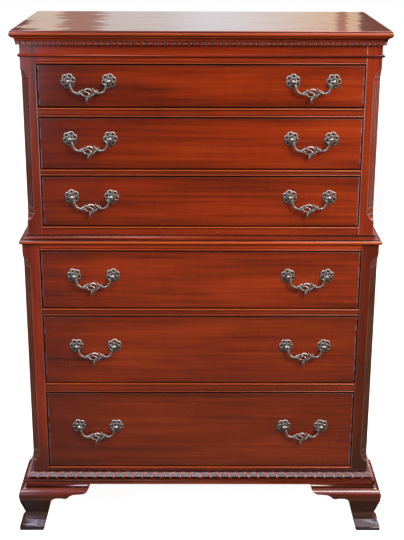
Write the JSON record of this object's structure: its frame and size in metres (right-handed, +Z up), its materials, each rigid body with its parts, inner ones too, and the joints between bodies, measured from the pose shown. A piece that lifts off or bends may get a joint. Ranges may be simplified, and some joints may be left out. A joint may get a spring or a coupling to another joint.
{
  "type": "chest on chest of drawers",
  "caption": "Tall mahogany chest on chest with full-width sliding drawers, swinging bail pulls, dentil cornice, fluted corner posts, gadrooned base and ogee bracket feet.",
  "frame": {"origin": "middle of the chest's footprint, on the floor", "axes": "+Z up, +X to the right as seen from the front, +Y from the front towards the back"},
  "size_m": [1.004, 0.5414, 1.368],
  "materials": {
    "mahogany_case": "red-brown mahogany, polished clear finish",
    "mahogany_front": "red-brown mahogany veneer, polished clear finish",
    "drawer_box_wood": "plain secondary wood, light clear coat",
    "back_board": "stained flat board",
    "antique_brass": "aged cast brass, dark patina in the hollows"
  },
  "bodies": {
    "case": {"astragal_bead": "mahogany_case", "base_frame": "mahogany_case", "cornice_cove": "mahogany_case", "dentil_moulding": "mahogany_case", "dust_panels": "drawer_box_wood", "foot_front_left": "mahogany_case", "foot_front_right": "mahogany_case", "foot_glue_blocks": "drawer_box_wood", "foot_rear_left": "mahogany_case", "foot_rear_right": "mahogany_case", "frieze_board": "mahogany_case", "gadroon_moulding": "mahogany_case", "lower_back_panel": "back_board", "lower_bottom_rail": "mahogany_case", "lower_posts": "mahogany_case", "lower_rails": "mahogany_case", "lower_runners": "drawer_box_wood", "lower_sides": "mahogany_case", "lower_top_rail": "mahogany_case", "rear_stiles": "drawer_box_wood", "top_board": "mahogany_case", "upper_back_panel": "back_board", "upper_bottom_rail": "mahogany_case", "upper_posts": "mahogany_case", "upper_rails": "mahogany_case", "upper_runners": "drawer_box_wood", "upper_sides": "mahogany_case", "upper_top_rail": "mahogany_case", "waist_board": "mahogany_case", "waist_cove": "mahogany_case"},
    "drawer_1": {"drawer_1_front": "mahogany_front", "drawer_1_box": "drawer_box_wood", "drawer_1_pull_mounts": "antique_brass"},
    "drawer_1_bail_left": {"drawer_1_bail_left": "antique_brass"},
    "drawer_1_bail_right": {"drawer_1_bail_right": "antique_brass"},
    "drawer_2": {"drawer_2_front": "mahogany_front", "drawer_2_box": "drawer_box_wood", "drawer_2_pull_mounts": "antique_brass"},
    "drawer_2_bail_left": {"drawer_2_bail_left": "antique_brass"},
    "drawer_2_bail_right": {"drawer_2_bail_right": "antique_brass"},
    "drawer_3": {"drawer_3_front": "mahogany_front", "drawer_3_box": "drawer_box_wood", "drawer_3_pull_mounts": "antique_brass"},
    "drawer_3_bail_left": {"drawer_3_bail_left": "antique_brass"},
    "drawer_3_bail_right": {"drawer_3_bail_right": "antique_brass"},
    "drawer_4": {"drawer_4_front": "mahogany_front", "drawer_4_box": "drawer_box_wood", "drawer_4_pull_mounts": "antique_brass"},
    "drawer_4_bail_left": {"drawer_4_bail_left": "antique_brass"},
    "drawer_4_bail_right": {"drawer_4_bail_right": "antique_brass"},
    "drawer_5": {"drawer_5_front": "mahogany_front", "drawer_5_box": "drawer_box_wood", "drawer_5_pull_mounts": "antique_brass"},
    "drawer_5_bail_left": {"drawer_5_bail_left": "antique_brass"},
    "drawer_5_bail_right": {"drawer_5_bail_right": "antique_brass"},
    "drawer_6": {"drawer_6_front": "mahogany_front", "drawer_6_box": "drawer_box_wood", "drawer_6_pull_mounts": "antique_brass"},
    "drawer_6_bail_left": {"drawer_6_bail_left": "antique_brass"},
    "drawer_6_bail_right": {"drawer_6_bail_right": "antique_brass"}
  },
  "joints": [
    {"name": "drawer_1_slide", "type": "slide", "parent": "case", "child": "drawer_1", "axis": [0, -1, 0], "range_m": [0, 0.35]},
    {"name": "drawer_1_bail_left_swing", "type": "hinge", "parent": "drawer_1", "child": "drawer_1_bail_left", "pos_m": [-0.2795, -0.22825, 1.24375], "axis": [-1, 0, 0], "range_deg": [0, 90]},
    {"name": "drawer_1_bail_right_swing", "type": "hinge", "parent": "drawer_1", "child": "drawer_1_bail_right", "pos_m": [0.2795, -0.22825, 1.24375], "axis": [-1, 0, 0], "range_deg": [0, 90]},
    {"name": "drawer_2_slide", "type": "slide", "parent": "case", "child": "drawer_2", "axis": [0, -1, 0], "range_m": [0, 0.35]},
    {"name": "drawer_2_bail_left_swing", "type": "hinge", "parent": "drawer_2", "child": "drawer_2_bail_left", "pos_m": [-0.2795, -0.22825, 1.0985], "axis": [-1, 0, 0], "range_deg": [0, 90]},
    {"name": "drawer_2_bail_right_swing", "type": "hinge", "parent": "drawer_2", "child": "drawer_2_bail_right", "pos_m": [0.2795, -0.22825, 1.0985], "axis": [-1, 0, 0], "range_deg": [0, 90]},
    {"name": "drawer_3_slide", "type": "slide", "parent": "case", "child": "drawer_3", "axis": [0, -1, 0], "range_m": [0, 0.35]},
    {"name": "drawer_3_bail_left_swing", "type": "hinge", "parent": "drawer_3", "child": "drawer_3_bail_left", "pos_m": [-0.2795, -0.22825, 0.9475], "axis": [-1, 0, 0], "range_deg": [0, 90]},
    {"name": "drawer_3_bail_right_swing", "type": "hinge", "parent": "drawer_3", "child": "drawer_3_bail_right", "pos_m": [0.2795, -0.22825, 0.9475], "axis": [-1, 0, 0], "range_deg": [0, 90]},
    {"name": "drawer_4_slide", "type": "slide", "parent": "case", "child": "drawer_4", "axis": [0, -1, 0], "range_m": [0, 0.35]},
    {"name": "drawer_4_bail_left_swing", "type": "hinge", "parent": "drawer_4", "child": "drawer_4_bail_left", "pos_m": [-0.2795, -0.24275, 0.739], "axis": [-1, 0, 0], "range_deg": [0, 90]},
    {"name": "drawer_4_bail_right_swing", "type": "hinge", "parent": "drawer_4", "child": "drawer_4_bail_right", "pos_m": [0.2795, -0.24275, 0.739], "axis": [-1, 0, 0], "range_deg": [0, 90]},
    {"name": "drawer_5_slide", "type": "slide", "parent": "case", "child": "drawer_5", "axis": [0, -1, 0], "range_m": [0, 0.35]},
    {"name": "drawer_5_bail_left_swing", "type": "hinge", "parent": "drawer_5", "child": "drawer_5_bail_left", "pos_m": [-0.2795, -0.24275, 0.5415], "axis": [-1, 0, 0], "range_deg": [0, 90]},
    {"name": "drawer_5_bail_right_swing", "type": "hinge", "parent": "drawer_5", "child": "drawer_5_bail_right", "pos_m": [0.2795, -0.24275, 0.5415], "axis": [-1, 0, 0], "range_deg": [0, 90]},
    {"name": "drawer_6_slide", "type": "slide", "parent": "case", "child": "drawer_6", "axis": [0, -1, 0], "range_m": [0, 0.35]},
    {"name": "drawer_6_bail_left_swing", "type": "hinge", "parent": "drawer_6", "child": "drawer_6_bail_left", "pos_m": [-0.2795, -0.24275, 0.305], "axis": [-1, 0, 0], "range_deg": [0, 90]},
    {"name": "drawer_6_bail_right_swing", "type": "hinge", "parent": "drawer_6", "child": "drawer_6_bail_right", "pos_m": [0.2795, -0.24275, 0.305], "axis": [-1, 0, 0], "range_deg": [0, 90]}
  ]
}
